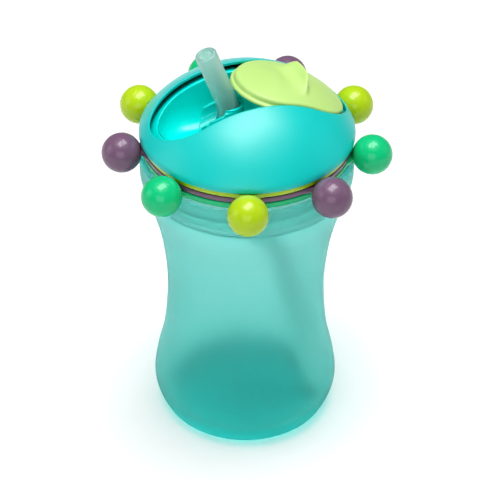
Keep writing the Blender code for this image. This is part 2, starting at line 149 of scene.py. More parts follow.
def linear(red, green, blue):
    """An 8-bit display colour as linear values."""
    values = [c / 255 for c in (red, green, blue)]
    return tuple(c / 12.92 if c <= 0.04045 else ((c + 0.055) / 1.055) ** 2.4 for c in values)


# ---- shader maths ---------------------------------------------------------------------------------------


class Value:
    """A number that varies over a surface. Python's operators on it add Math nodes."""

    def __init__(self, tree, socket):
        self.tree = tree
        self.socket = socket

    def _maths(self, operation, first, second, clamp=False):
        settings = {"operation": operation, "use_clamp": clamp}
        return self.tree.node("ShaderNodeMath", settings, {0: first, 1: second}).value("Value")

    def __add__(self, other):
        return self._maths("ADD", self, other)

    def __sub__(self, other):
        return self._maths("SUBTRACT", self, other)

    def __rsub__(self, other):
        return self._maths("SUBTRACT", other, self)

    def __mul__(self, other):
        return self._maths("MULTIPLY", self, other)

    def __truediv__(self, other):
        return self._maths("DIVIDE", self, other)

    def __rtruediv__(self, other):
        return self._maths("DIVIDE", other, self)

    __radd__ = __add__
    __rmul__ = __mul__

    def clamped(self):
        return self._maths("ADD", self, 0.0, clamp=True)

    def between(self, low, high):
        """0 below low, 1 above high, and even in between."""
        return ((self - low) / (high - low)).clamped()


class Node:
    """A node of a tree, whose outputs come as sockets or as values to do sums with."""

    def __init__(self, tree, node):
        self.tree = tree
        self.node = node

    def value(self, name):
        return Value(self.tree, self.node.outputs[name])

    def out(self, name):
        return self.node.outputs[name]


class Tree:
    """A node tree, in which one method makes every node."""

    def __init__(self, owner):
        owner.use_nodes = True
        self.tree = owner.node_tree

    def node(self, kind, settings, sockets):
        """A new node: its type, its settings by name, and its sockets' values or links by name or number."""
        made = self.tree.nodes.new(kind)
        for name, value in settings.items():
            setattr(made, name, value)
        for name, value in sockets.items():
            self.join(value, made.inputs[name])
        return Node(self, made)

    def join(self, value, socket):
        if isinstance(value, Value):
            value = value.socket
        if isinstance(value, bpy.types.NodeSocket):
            self.tree.links.new(value, socket)
        else:
            socket.default_value = value


class Shader(Tree):
    """One material's node tree, round its Principled BSDF."""

    def __init__(self, name, **constants):
        self.material = bpy.data.materials.new(name)
        super().__init__(self.material)
        self.surface = self.tree.nodes["Principled BSDF"]
        self.output = self.tree.nodes["Material Output"]
        self.feed(**constants)

    def feed(self, **inputs):
        for name, value in inputs.items():
            self.join(value, self.surface.inputs[name.replace("_", " ")])

    def position(self):
        return self.node("ShaderNodeTexCoord", {}, {}).out("Object")

    def split(self, vector):
        parts = self.node("ShaderNodeSeparateXYZ", {}, {"Vector": vector})
        return parts.value("X"), parts.value("Y"), parts.value("Z")

    def noise(self, scale, detail=2.0, roughness=0.5, distortion=0.0):
        sockets = {"Vector": self.position(), "Scale": scale, "Detail": detail}
        sockets.update({"Roughness": roughness, "Distortion": distortion})
        return self.node("ShaderNodeTexNoise", {}, sockets).value("Fac")

    def blend(self, amount, first, second):
        """A colour between two, each a colour tuple or a colour socket."""
        ends = [(*c, 1.0) if isinstance(c, tuple) else c for c in (first, second)]
        sockets = {0: amount, 6: ends[0], 7: ends[1]}
        return self.node("ShaderNodeMix", {"data_type": "RGBA"}, sockets).out(2)

    def bump(self, height, strength, distance):
        sockets = {"Height": height, "Strength": strength, "Distance": distance}
        return self.node("ShaderNodeBump", {}, sockets).out("Normal")


def moulded(name, colour, deep, roughness, grain, **constants):
    """Injection-moulded plastic: slight flow marks in the colour, uneven polish and a fine skin texture."""
    shader = Shader(name, IOR=1.49, **constants)
    flow = shader.noise(28.0, 3.0, 0.55, 0.6)
    polish = shader.noise(160.0, 3.0, 0.6)
    texture = shader.noise(2600.0, 2.0, 0.5)
    scuff = shader.noise(420.0, 4.0, 0.7, 1.5).between(0.60, 0.74)
    shader.feed(
        Base_Color=shader.blend(flow.between(0.3, 0.75), colour, deep),
        Roughness=roughness + (polish - 0.5) * 0.12 + scuff * 0.05,
        Normal=shader.bump(texture + polish * 0.6, grain, 0.00006),
    )
    return shader.material


def frosted(name, top, middle, bottom, heights, absorbed, density, milk, haze, passed, **constants):
    """Frosted polypropylene: the wall itself is tinted, and its blasted skin scatters light.

    Lamps shine through it as if it were clear but coloured, so that the inside is lit.
    """
    shader = Shader(name, IOR=1.22, **constants)
    absorb = {"Color": (*absorbed, 1.0), "Density": density}
    volume = shader.node("ShaderNodeVolumeAbsorption", {}, absorb).out("Volume")
    shader.join(volume, shader.output.inputs["Volume"])
    z = shader.split(shader.position())[2]
    cloud = shader.noise(42.0, 4.0, 0.6, 0.4)
    frost = shader.noise(1500.0, 3.0, 0.6)
    # The colour is graded by height: a little less red near the foot, and whiter in the top band. The whiter
    # band is painted light that lifts it out of the shade of the rings and dome.
    low, mid, high = heights
    lower = shader.blend(z.between(low, mid), bottom, middle)
    tint_with_painted_light = shader.blend(z.between(mid, high), lower, top)
    shader.feed(
        Base_Color=shader.blend(cloud.between(0.35, 0.9) * 0.16, tint_with_painted_light, (0.80, 0.95, 0.92)),
        Roughness=0.38 + (cloud - 0.5) * 0.08 + frost * 0.05,
        Normal=shader.bump(frost, 0.08, 0.00004),
    )
    glow = shader.node("ShaderNodeBsdfTranslucent", {}, {"Color": (*milk, 1.0)}).out("BSDF")
    surface = shader.surface.outputs["BSDF"]
    amount = haze + (cloud - 0.5) * 0.06
    mixed = shader.node("ShaderNodeMixShader", {}, {0: amount, 1: surface, 2: glow})
    clear = shader.node("ShaderNodeBsdfTransparent", {}, {"Color": (*passed, 1.0)}).out("BSDF")
    lamps = shader.node("ShaderNodeLightPath", {}, {}).value("Is Shadow Ray")
    lit = shader.node("ShaderNodeMixShader", {}, {0: lamps, 1: mixed.out("Shader"), 2: clear})
    shader.join(lit.out("Shader"), shader.output.inputs["Surface"])
    return shader.material


def silicone_rubber(name, colour, deep, roughness, grain, **constants):
    """Milky silicone: faint clouds and a dusty matt skin."""
    shader = Shader(name, IOR=1.41, **constants)
    cloud = shader.noise(90.0, 4.0, 0.6, 0.8)
    dust = shader.noise(900.0, 2.0, 0.6)
    shader.feed(
        Base_Color=shader.blend(cloud.between(0.3, 0.8), colour, deep),
        Roughness=roughness + dust * 0.12,
        Normal=shader.bump(dust + cloud, grain, 0.00005),
    )
    return shader.material


SATIN = {"Coat_Weight": 0.8, "Coat_Roughness": 0.34, "Specular_IOR_Level": 0.3}
LID_TEAL = moulded(
    "lid_teal_plastic", linear(0, 200, 194), linear(0, 193, 187), roughness=0.38, grain=0.16, **SATIN
)
RECESS_TEAL = moulded(
    "recess_teal_plastic", linear(0, 232, 224), linear(0, 226, 218), roughness=0.16, grain=0.10
)
COVER_LIME = moulded(
    "cover_lime_plastic", linear(188, 222, 134), linear(181, 217, 126), roughness=0.44, grain=0.16
)
BEAD_COLOURS = {
    "lime": (linear(182, 212, 36), linear(174, 204, 28)),
    "mint": (linear(24, 200, 134), linear(18, 191, 125)),
    "purple": (linear(128, 100, 125), linear(119, 91, 116)),
}
BEAD_LOOKS = {
    name: moulded(f"bead_{name}_plastic", *colours, roughness=0.15, grain=0.08)
    for name, colours in BEAD_COLOURS.items()
}
CUP_FROST = frosted(
    "cup_frosted_plastic",
    # top: the band's whiter colour is painted light, lifting it out of the shade of the rings and dome.
    top=linear(240, 250, 248),
    middle=linear(230, 245, 243),
    bottom=linear(220, 246, 244),
    heights=(0.03, 0.104, 0.121),
    absorbed=(0.0, 0.85, 0.815),
    density=135.0,
    milk=(0.12, 0.90, 0.86),
    haze=0.07,
    passed=(0.42, 0.95, 0.94),
    Specular_IOR_Level=0.15,
    Transmission_Weight=0.97,
)
COLLAR_FROST = frosted(
    "collar_frosted_plastic",
    # top: whiter towards the collar's top, painted light for the band seen through the cup under the rings.
    top=linear(238, 252, 248),
    middle=linear(232, 250, 246),
    bottom=linear(232, 250, 246),
    heights=(0.10, 0.115, 0.13),
    absorbed=(0.3, 0.9, 0.86),
    density=40.0,
    milk=(0.95, 0.99, 0.98),
    haze=0.60,
    passed=(0.80, 0.92, 0.90),
    Transmission_Weight=0.20,
)
PAD_TEAL = silicone_rubber(
    "pad_teal_rubber", linear(0, 236, 240), linear(0, 229, 234), roughness=0.5, grain=0.10
)
SPOUT_CLEAR = silicone_rubber(
    "spout_milky_silicone",
    linear(224, 252, 246),
    linear(214, 248, 241),
    roughness=0.28,
    grain=0.004,
    Transmission_Weight=0.72,
)
TUBE_MILKY = silicone_rubber(
    "tube_milky_silicone",
    linear(232, 240, 236),
    linear(222, 234, 230),
    roughness=0.30,
    grain=0.05,
    Transmission_Weight=0.15,
)

# ---- mesh building --------------------------------------------------------------------------------------


def placed(name, data):
    obj = bpy.data.objects.new(name, data)
    bpy.context.scene.collection.objects.link(obj)
    return obj


def new_piece(name, mesh, look):
    mesh.materials.append(look)
    mesh.shade_smooth()
    return placed(name, mesh)


def mesh_from(name, bm):
    mesh = bpy.data.meshes.new(name)
    bm.to_mesh(mesh)
    bm.free()
    return mesh


def spun(points, angle):
    """Points turned about the upright axis."""
    c, s = math.cos(angle), math.sin(angle)
    return np.asarray(points, float) @ np.array([[c, s, 0.0], [-s, c, 0.0], [0.0, 0.0, 1.0]])


def skin(name, rows, look, closed=False, turn=0.0):
    """Joins rings of points, each the same length, into one surface.

    The rows run over the outside from the top down; closed joins the last row to the first. Rings that
    fold to a line or a point are merged there.
    """
    rows = np.asarray(rows, float)
    count, around = rows.shape[:2]
    points = spun(rows.reshape(-1, 3), turn) * MM
    index = np.arange(count * around).reshape(count, around)
    upper = index if closed else index[:-1]
    lower = np.roll(index, -1, axis=0) if closed else index[1:]
    quads = np.stack([upper, lower, np.roll(lower, -1, axis=1), np.roll(upper, -1, axis=1)], axis=-1)
    mesh = bpy.data.meshes.new(name)
    mesh.from_pydata(points.tolist(), [], quads.reshape(-1, 4).tolist())
    bm = bmesh.new()
    bm.from_mesh(mesh)
    bmesh.ops.remove_doubles(bm, verts=bm.verts, dist=1e-6)
    bmesh.ops.dissolve_degenerate(bm, edges=bm.edges, dist=1e-7)
    bmesh.ops.recalc_face_normals(bm, faces=bm.faces)
    bm.to_mesh(mesh)
    bm.free()
    return new_piece(name, mesh, look)


def arc(centre_r, centre_z, radius, start, end, count):
    """Points on an arc in a profile, as (r, z), with angles in degrees from straight up, outwards."""
    a = np.radians(np.linspace(start, end, count + 1))
    return [(centre_r + radius * math.sin(t), centre_z + radius * math.cos(t)) for t in a]


def line(start, end, count):
    """Points after start up to end."""
    start, end = np.array(start, float), np.array(end, float)
    return [tuple(start + (end - start) * (i + 1) / count) for i in range(count)]


def softened(corners, radii, count=4):
    """A closed or open profile whose inner corners are rounded."""
    points = [corners[0]]
    for before, corner, after, radius in zip(corners, corners[1:], corners[2:], radii):
        before, corner, after = (np.array(p, float) for p in (before, corner, after))
        to_before = (before - corner) / np.linalg.norm(before - corner)
        to_after = (after - corner) / np.linalg.norm(after - corner)
        start, end = corner + to_before * radius, corner + to_after * radius
        for i in range(count + 1):
            t = i / count
            points.append(tuple(start * (1 - t) ** 2 + corner * 2 * t * (1 - t) + end * t * t))
    return points + [corners[-1]]


def turned_rows(profile, around=144):
    angles = np.arange(around) * TAU / around
    ring = np.stack([np.cos(angles), np.sin(angles), np.zeros(around)], axis=-1)
    return [ring * r + np.array([0.0, 0.0, z]) for r, z in profile]


def turned(name, profile, look, closed=False, around=144):
    return skin(name, turned_rows(profile, around), look, closed)


def swept(name, path, outer, inner, look, around=40):
    """A hollow tube along a path of points, with rounded ends."""
    path = np.asarray(path, float)
    tangents = np.gradient(path, axis=0)
    tangents /= np.linalg.norm(tangents, axis=1)[:, None]
    side = np.cross(tangents, [0.0, 1.0, 0.0])
    side /= np.linalg.norm(side, axis=1)[:, None]
    other = np.cross(tangents, side)
    angles = np.arange(around) * TAU / around

    def ring(i, radius, shift=0.0):
        spokes = np.cos(angles)[:, None] * side[i] + np.sin(angles)[:, None] * other[i]
        return path[i] + tangents[i] * shift + spokes * radius

    lip = (outer - inner) / 2
    middle = (outer + inner) / 2
    last = len(path) - 1
    top = [ring(0, middle + lip * math.cos(a), -lip * math.sin(a)) for a in np.linspace(math.pi, 0, 9)]
    foot = [ring(last, middle + lip * math.cos(a), lip * math.sin(a)) for a in np.linspace(0, math.pi, 9)]
    outside = [ring(i, outer) for i in range(1, last)]
    inside = [ring(i, inner) for i in range(last - 1, 0, -1)]
    return skin(name, top + outside + foot + inside, look, closed=True)


def join(piece, *others):
    """Adds the other pieces' surfaces to a piece."""
    bm = bmesh.new()
    bm.from_mesh(piece.data)
    for other in others:
        bm.from_mesh(other.data)
        bpy.data.objects.remove(other)
    bm.to_mesh(piece.data)
    bm.free()
    piece.data.shade_smooth()
    return piece


def ridge(name, wall_r, tip_r, start, bottom_z, look):
    """One rounded thread ridge on a wall, which climbs as it goes round and fades in and out at its ends."""
    half, sunk = 0.6, 0.3
    section = [(0.0, -half), (0.55, -half * 0.75), (0.9, -half * 0.45), (1.0, 0.0)]
    section += [(0.9, half * 0.45), (0.55, half * 0.75), (0.0, half)]
    rows = []
    for turned_by in np.linspace(0, THREAD_SPAN, 61):
        fade = min(1.0, turned_by / THREAD_FADE, (THREAD_SPAN - turned_by) / THREAD_FADE)
        a = math.radians(start + turned_by)
        z = bottom_z + THREAD_LEAD * turned_by / 360
        reach = (tip_r - wall_r) * max(fade, 0.02)
        root = wall_r - math.copysign(sunk, tip_r - wall_r)
        radii = [root if part == 0 else wall_r + reach * part for part, _ in section]
        rows.append([(r * math.cos(a), r * math.sin(a), z + dz) for r, (_, dz) in zip(radii, section)])
    first, last = (np.tile(np.mean(rows[i], axis=0), (len(section), 1)) for i in (0, -1))
    return skin(name, [first, *rows, last], look)


# ---- cup and base ---------------------------------------------------------------------------------------

CUP_STATIONS = np.array(  # height and outer radius, up the wall
    [
        (1.5, 34.8), (5.0, 36.5), (12.0, 38.5), (22.0, 37.6), (35.0, 34.7), (50.0, 33.0), (65.0, 32.6),
        (80.0, 33.8), (92.0, 35.8), (100.0, 37.9), (107.0, 40.0), (112.0, 41.5), (116.0, 42.6),
        (118.5, 43.0),
    ]
)  # fmt: skip
CUP_WALL = 1.8
MOUTH_R = 40.6
LEDGE_Z = 114.0
LEDGE_R = 38.0


def cup_radius(z):
    """The cup's outer radius: a smooth curve through its stations."""
    heights, radii = CUP_STATIONS.T
    if z >= heights[-1]:
        return float(BAND_R)
    i = int(np.searchsorted(heights, z, side="right")) - 1
    slopes = np.gradient(radii, heights)
    slopes[-1] = 0.06
    span = heights[i + 1] - heights[i]
    t = (z - heights[i]) / span
    start = (1 + 2 * t) * (1 - t) ** 2 * radii[i] + t * (1 - t) ** 2 * span * slopes[i]
    return float(start + t * t * (3 - 2 * t) * radii[i + 1] + t * t * (t - 1) * span * slopes[i + 1])


def make_cup():
    floor_top, floor_under = 5.3, 3.3
    inside = [(0.0, floor_top), (16.0, floor_top), (30.0, floor_top)]
    inside += arc(30.2, 9.0, 3.7, 172, 100, 8)
    inside += [(cup_radius(z) - CUP_WALL, z) for z in np.linspace(10.5, 105.0, 64)]
    ledge = [(LEDGE_R - 0.2, 107.5), (LEDGE_R, 109.0), (LEDGE_R, LEDGE_Z), (MOUTH_R, LEDGE_Z)]
    inside += softened(ledge, (1.0, 0.6))
    inside += [(MOUTH_R, 115.0), (MOUTH_R, CUP_RIM_Z - 1.2)]
    rim_r = (BAND_R - MOUTH_R) / 2
    inside += arc(MOUTH_R + rim_r, CUP_RIM_Z - rim_r, rim_r, -88, 88, 10)
    outside = [(BAND_R, z) for z in np.linspace(CUP_RIM_Z - 1.8, 118.6, 8)]
    outside += [(cup_radius(z), z) for z in np.linspace(118.2, 2.2, 96)]
    foot = arc(33.0, 1.9, 1.3, 80, 180, 8)
    foot += softened([(33.0, CUP_FOOT_Z), (PAD_R + 0.3, CUP_FOOT_Z), (PAD_R + 0.3, floor_under)], (0.4,))
    foot += [(16.0, floor_under), (0.0, floor_under)]
    cup = turned("cup_body_frosted", inside + outside + foot, CUP_FROST, around=192)
    ridges = [
        ridge(f"cup_ridge_{start}", MOUTH_R, CUP_RIDGE_TIP_R, start, CUP_RIDGE_Z, CUP_FROST)
        for start in THREAD_STARTS
    ]
    return join(cup, *ridges)


def make_pad():
    """The pad: a softly edged disc whose underside has three shallow grip grooves."""
    edge, groove = 0.5, 0.35
    top = [(0.0, PAD_H), (20.0, PAD_H), (PAD_R - 1.2, PAD_H)]
    top += arc(PAD_R - edge, PAD_H - edge, edge, 0, 90, 5)
    bottom = [(PAD_R, edge)] + arc(PAD_R - edge, edge, edge, 90, 180, 5)
    for radius in (26.0, 20.0, 14.0):
        bottom += [(radius + 1.0, 0.0), (radius + 0.6, groove), (radius - 0.6, groove), (radius - 1.0, 0.0)]
    return turned("base_pad_rubber", top + bottom + [(0.0, 0.0)], PAD_TEAL)


# ---- lid ------------------------------------------------------------------------------------------------


def stadium(reach, half_width, centre, arcs=44, side=None):
    """A ring of plan points round a stadium. Rings that differ only in width line up point by point."""
    if side is None:
        side = np.linspace(-1.0, 1.0, 30)[1:-1]
    right = np.linspace(-math.pi / 2, math.pi / 2, arcs)
    left = right + math.pi
    ends = [(reach + half_width * np.cos(right), half_width * np.sin(right))]
    ends.append((-reach * side, np.full(len(side), half_width)))
    ends.append((-reach + half_width * np.cos(left), half_width * np.sin(left)))
    ends.append((reach * side, np.full(len(side), -half_width)))
    u = np.concatenate([e[0] for e in ends]) + centre[0]
    v = np.concatenate([e[1] for e in ends]) + centre[1]
    return np.stack([u, v], axis=-1)


def on_sphere(ring, radius, centre_z=SPHERE_Z):
    """Plan points raised onto a sphere about the lid's centre."""
    z = centre_z + np.sqrt(radius**2 - (ring**2).sum(axis=1))
    return np.column_stack([ring, z])


def flat_ring(ring, z):
    return np.column_stack([ring, np.full(len(ring), z)])


def measured(profile):
    """A profile's radii and heights, with the length along it."""
    profile = np.array(profile)
    along = np.concatenate([[0.0], np.cumsum(np.hypot(*np.diff(profile, axis=0).T))])
    return profile[:, 0], profile[:, 1], along


def dome_curve(sphere_r, band_r, fillet, steps=(240, 60)):
    """A dense profile from the top of a sphere, round a fillet, to an upright band."""
    fillet_z = SPHERE_Z + math.sqrt((sphere_r - fillet) ** 2 - (band_r - fillet) ** 2)
    meet = math.degrees(math.atan2(band_r - fillet, fillet_z - SPHERE_Z))
    crown = arc(0, SPHERE_Z, sphere_r, 0, meet, steps[0])
    return measured(crown + arc(band_r - fillet, fillet_z, fillet, meet, 90, steps[1])[1:])


def spread_rows(ring, curve, count):
    """Rows that run down a turned profile from a plan ring to its foot, along lines of longitude."""
    radii, heights, along = curve
    angles = np.arctan2(ring[:, 1], ring[:, 0])
    start = np.interp(np.hypot(ring[:, 0], ring[:, 1]), radii, along)
    rows = []
    for k in range(1, count + 1):
        reached = start + (along[-1] - start) * k / count
        r = np.interp(reached, along, radii)
        z = np.interp(reached, along, heights)
        rows.append(np.column_stack([r * np.cos(angles), r * np.sin(angles), z]))
    return rows


def polar_ring(ring, radius, z):
    angles = np.arctan2(ring[:, 1], ring[:, 0])
    return np.column_stack([radius * np.cos(angles), radius * np.sin(angles), np.full(len(ring), z)])


def height_on(curve, ring):
    return np.interp(np.hypot(ring[:, 0], ring[:, 1]), curve[0], curve[1])


def make_dome():
    """The dome: a shell whose slot has a rounded edge, all in rings that run round the slot."""
    edge_r, under_r, foot_r, lip_outer_r = 0.9, 0.4, 0.3, 41.4
    outer = dome_curve(DOME_R, DOME_BAND_R, DOME_FILLET)
    inner = dome_curve(DOME_R - DOME_WALL, DOME_BAND_R - DOME_WALL, DOME_FILLET - DOME_WALL)

    def slot(offset):
        return stadium(SLOT_REACH, SLOT_HALF_WIDTH + offset, SLOT_CENTRE)

    under = slot(under_r)
    wall_foot = height_on(inner, slot(0.0))
    rows = [np.column_stack([under, height_on(inner, under)])]
    for a in np.linspace(math.pi / 2, 0, 5)[1:]:
        ring = slot(under_r * (1 - math.cos(a)))
        rows.append(np.column_stack([ring, wall_foot + under_r * (1 - math.sin(a))]))
    for a in np.linspace(0, math.pi / 2, 8):
        ring = slot(edge_r * (1 - math.cos(a)))
        rows.append(np.column_stack([ring, height_on(outer, ring) - edge_r * (1 - math.sin(a))]))
    last = slot(edge_r)
    rows += spread_rows(last, outer, 44)
    foot = arc(DOME_BAND_R - foot_r, DOME_EDGE_Z + foot_r, foot_r, 100, 180, 4)
    rows += [polar_ring(last, r, z) for r, z in foot]
    rows += [polar_ring(last, r, DOME_EDGE_Z) for r in (lip_outer_r, DOME_LIP_R)]
    rows += [polar_ring(last, r, DOME_LIP_TOP) for r in (DOME_LIP_R, DOME_BAND_R - DOME_WALL)]
    rows += spread_rows(under, inner, 14)[::-1][1:]
    return skin("lid_dome_shell", rows, LID_TEAL, closed=True, turn=SLOT_TURN)


def make_lid_base():
    """Floor, walls and rim of the recess, the deck round it and the neck, then back along the inside."""
    floor_r, rim_r, neck_fillet, wall = 8.5, 0.7, 1.0, 1.0
    neck_top = 132.0

    def ring(offset):
        return stadium(RECESS_REACH, RECESS_HALF_WIDTH + offset, RECESS_CENTRE)

    rows = [flat_ring(ring(-RECESS_HALF_WIDTH + w), RECESS_FLOOR) for w in (0.0, 2.0, 4.0, 5.5)]
    for a in np.linspace(0, math.pi / 2, 15):
        edge = ring(-floor_r + floor_r * math.sin(a))
        rows.append(flat_ring(edge, RECESS_FLOOR + floor_r * (1 - math.cos(a))))
    deck_top = on_sphere(ring(0.0), DECK_R)
    low, high = RECESS_FLOOR + floor_r, deck_top[:, 2] - rim_r
    for share in (0.2, 0.4, 0.6, 0.8):
        rows.append(np.column_stack([ring(0.0), low + (high - low) * share]))
    for a in np.linspace(0, math.pi / 2, 6):
        edge = ring(rim_r * (1 - math.cos(a)))
        rows.append(on_sphere(edge, DECK_R) - np.array([0, 0, rim_r * (1 - math.sin(a))]))
    outline = ring(rim_r)
    rows += spread_rows(outline, dome_curve(DECK_R, NECK_R, neck_fillet, steps=(160, 12)), 26)
    foot = [(NECK_R, neck_top), (NECK_R, NECK_BOTTOM), (NECK_INNER_R, NECK_BOTTOM), (NECK_INNER_R, neck_top)]
    rows += [polar_ring(outline, r, z) for r, z in softened(foot, (0.3, 0.3))]
    under = ring(wall)
    inner_end = math.degrees(math.asin(NECK_INNER_R / DECK_INNER_R))
    rows += spread_rows(under, measured(arc(0, SPHERE_Z, DECK_INNER_R, 0, inner_end, 80)), 8)[::-1]
    rows += [on_sphere(under, DECK_INNER_R), flat_ring(under, RECESS_UNDER + wall)]
    rows += [flat_ring(ring(0.0), RECESS_UNDER)]
    rows += [flat_ring(ring(-RECESS_HALF_WIDTH + w), RECESS_UNDER) for w in (8.0, 0.0)]
    return skin("lid_base_deck", rows, RECESS_TEAL, turn=SLOT_TURN)


def box_cutter(outline, low, high):
    """A throwaway upright prism in slot axes."""
    bm = bmesh.new()
    face = bm.faces.new([bm.verts.new((u * MM, v * MM, low * MM)) for u, v in outline])
    raised = bmesh.ops.extrude_face_region(bm, geom=[face])["geom"]
    corners = [part for part in raised if isinstance(part, bmesh.types.BMVert)]
    bmesh.ops.translate(bm, verts=corners, vec=(0, 0, (high - low) * MM))
    bmesh.ops.recalc_face_normals(bm, faces=bm.faces)
    return placed("cutter", mesh_from("cutter", bm))


def rod(start, end, radius):
    """A throwaway round bar between two points."""
    start, end = Vector(start), Vector(end)
    size = {"radius1": radius * MM, "radius2": radius * MM, "depth": (end - start).length * MM}
    bm = bmesh.new()
    bmesh.ops.create_cone(bm, cap_ends=True, segments=64, **size)
    facing = (end - start).to_track_quat("Z", "Y").to_matrix().to_4x4()
    bm.transform(Matrix.Translation((start + end) / 2 * MM) @ facing)
    return placed("rod", mesh_from("rod", bm))


def evaluated_mesh(obj):
    """The object's mesh with its modifiers applied."""
    bpy.context.view_layer.update()
    return bpy.data.meshes.new_from_object(obj.evaluated_get(bpy.context.evaluated_depsgraph_get()))


def carved(name, blank, cutters, additions, voxel, passes, look):
    """A moulded lump: joins and cuts, then one even skin whose corners are eased all over."""
    for operation, others in (("UNION", additions), ("DIFFERENCE", cutters)):
        for other in others:
            step = blank.modifiers.new(operation, "BOOLEAN")
            step.object = other
            step.operation = operation
    remesh = blank.modifiers.new("skin", "REMESH")
    remesh.mode = "VOXEL"
    remesh.voxel_size = voxel * MM
    ease = blank.modifiers.new("ease", "SMOOTH")
    ease.iterations = passes
    ease.factor = 0.5
    mesh = evaluated_mesh(blank)
    for obj in (blank, *cutters, *additions):
        bpy.data.objects.remove(obj)
    mesh.name = name
    return new_piece(name, mesh, look)


def boss_ring(offset, z):
    """The boss's stadium outline, grown by an offset."""
    return flat_ring(stadium(BOSS_REACH, BOSS_HALF_WIDTH + offset, (BOSS_U, 0.0), 24), z)


def boss_middle(z):
    """An outline shrunk to a point, which closes the top or the foot."""
    return flat_ring(stadium(0.0, 0.01, (BOSS_U, 0.0), 24), z)


def make_cradle_cutters():
    """What clears the way for the folded straw: a U-shaped channel, and the space above its low walls."""
    radius = SPOUT_R + 0.4
    half_round = [math.radians(90 + 7.5 * i) for i in range(25)]
    outline = [(radius * math.cos(a), radius * math.sin(a)) for a in half_round]
    channel = box_cutter(outline + [(20.0, -radius), (20.0, radius)], 0.0, 34.0)
    above = box_cutter([(WALL_RISE, -9.0), (WALL_RISE, 9.0), (20.0, 9.0), (20.0, -9.0)], 3.2, 34.0)
    pivot = Matrix.Translation(Vector((STRAW_U, 0.0, STRAW_PIVOT_Z)) * MM)
    for cutter in (channel, above):
        cutter.data.transform(pivot @ Matrix.Rotation(-STRAW_FOLDED, 4, "Y"))
    return above, channel


def make_boss():
    """The boss that grips the straw: a flared foot, a cradle, a raised collar and the air hole."""
    flare, buried = 3.0, 1.0
    rows = [boss_middle(RECESS_FLOOR - buried), boss_ring(flare, RECESS_FLOOR - buried)]
    for a in np.linspace(0, math.pi / 2, 7):
        rows.append(boss_ring(flare * (1 - math.sin(a)), RECESS_FLOOR + flare * (1 - math.cos(a))))
    rows += [boss_ring(0.0, BOSS_TOP), boss_middle(BOSS_TOP)]
    blank = skin("boss_blank", rows, RECESS_TEAL)
    collar = rod((STRAW_U, 0, BOSS_TOP - 3), (STRAW_U, 0, BOSS_COLLAR_TOP), BOSS_COLLAR_R)
    bore = rod((STRAW_U, 0, 128), (STRAW_U, 0, 154), SPOUT_R + 0.25)
    vent = rod((VENT_U, 0, 128), (VENT_U, 0, 150), VENT_R)
    cutters = [*make_cradle_cutters(), bore, vent]
    boss = carved("straw_boss", blank, cutters, [collar], voxel=0.28, passes=6, look=RECESS_TEAL)
    boss.data.transform(Matrix.Rotation(SLOT_TURN, 4, "Z"))
    return boss


def make_collar():
    """The translucent screw collar: spigot in the neck, lip under the rings and threaded skirt."""
    corners = [(36.0, 131.4), (36.8, 131.4), (36.8, 128.2), (40.5, 128.2), (40.5, 127.3), (SKIRT_R, 127.3)]
    corners += [(SKIRT_R, 116.2), (37.1, 116.2), (37.1, 126.6), (35.2, 127.8), (35.2, 131.4), (35.9, 131.4)]
    profile = softened(corners, [0.2, 0.3, 0.3, 0.3, 0.4, 0.4, 0.4, 0.3, 0.3, 0.2])
    collar = turned("screw_collar_frosted", profile, COLLAR_FROST, closed=True)
    ridges = [
        ridge(f"collar_ridge_{start}", SKIRT_R, SKIRT_RIDGE_TIP_R, start, SKIRT_RIDGE_Z, COLLAR_FROST)
        for start in THREAD_STARTS
    ]
    return join(collar, *ridges)


def make_seal():
    """The flat silicone ring that the collar presses onto the cup's ledge."""
    corners = [(38.8, 115.9), (39.4, 115.9), (39.4, 114.3), (38.1, 114.3), (38.1, 115.9), (38.7, 115.9)]
    return turned("lid_seal_ring", softened(corners, [0.5] * 4), TUBE_MILKY, closed=True)


def make_valve():
    """The air hole's small plug: a domed stem with a flange under the recess."""
    stem = softened([(0.0, 139.0), (0.9, 138.6), (0.9, 131.7), (3.0, 131.7), (3.0, 130.9)], (0.2, 0.2, 0.2))
    valve = turned("vent_valve_plug", stem + [(0.0, 130.7)], TUBE_MILKY, around=32)
    valve.data.transform(Matrix.Rotation(SLOT_TURN, 4, "Z") @ Matrix.Translation((VENT_U * MM, 0, 0)))
    return valve


# ---- cover ----------------------------------------------------------------------------------------------


def eased(share):
    """0 to 1 with soft ends."""
    share = np.clip(share, 0, 1)
    return share * share * (3 - 2 * share)


def bell(distance, width):
    return np.exp(-((distance / width) ** 2))


def fin_height(u, v):
    """The thumb fin: a curved crest, with a scoop on the side that the thumb pushes and a steep far side."""
    crest = 2.4 - 0.020 * (v + 2.0) ** 2
    ends = eased((v + 13.5) / 13.0) * eased((12.0 - v) / 7.0)
    away = u - crest
    near_side = 1.0 / (1.0 + (away / 1.5) ** 2)
    scoop = 0.8 * bell(away + 6.0, 3.4) * bell(v, 9.0)
    return FIN_HEIGHT * ends * np.where(away < 0, near_side, bell(away, 1.3)) - scoop


def cover_ring(half_width, radius):
    """A stadium round the cover on a sphere about the lid's centre; its points lie closest along the fin."""
    side = [np.linspace(-1, -0.35, 12)[1:-1], np.linspace(-0.35, 0.75, 40), np.linspace(0.75, 1, 6)[1:-1]]
    beyond_cap = np.clip((half_width - CAP_HALF_WIDTH) / (FLANGE_HALF_WIDTH - CAP_HALF_WIDTH), 0, 1)
    reach = CAP_REACH - (CAP_REACH - FLANGE_REACH) * beyond_cap
    outline = stadium(reach, half_width, (0.0, SLOT_CENTRE[1]), side=np.concatenate(side))
    return on_sphere(outline, radius, 0.0)


def cap_row(half_width):
    """A row over the cap's top, raised where the fin is."""
    row = cover_ring(half_width, DOME_R)
    lift = fin_height(row[:, 0], row[:, 1] - SLOT_CENTRE[1])
    return row * (1 + lift / DOME_R)[:, None]


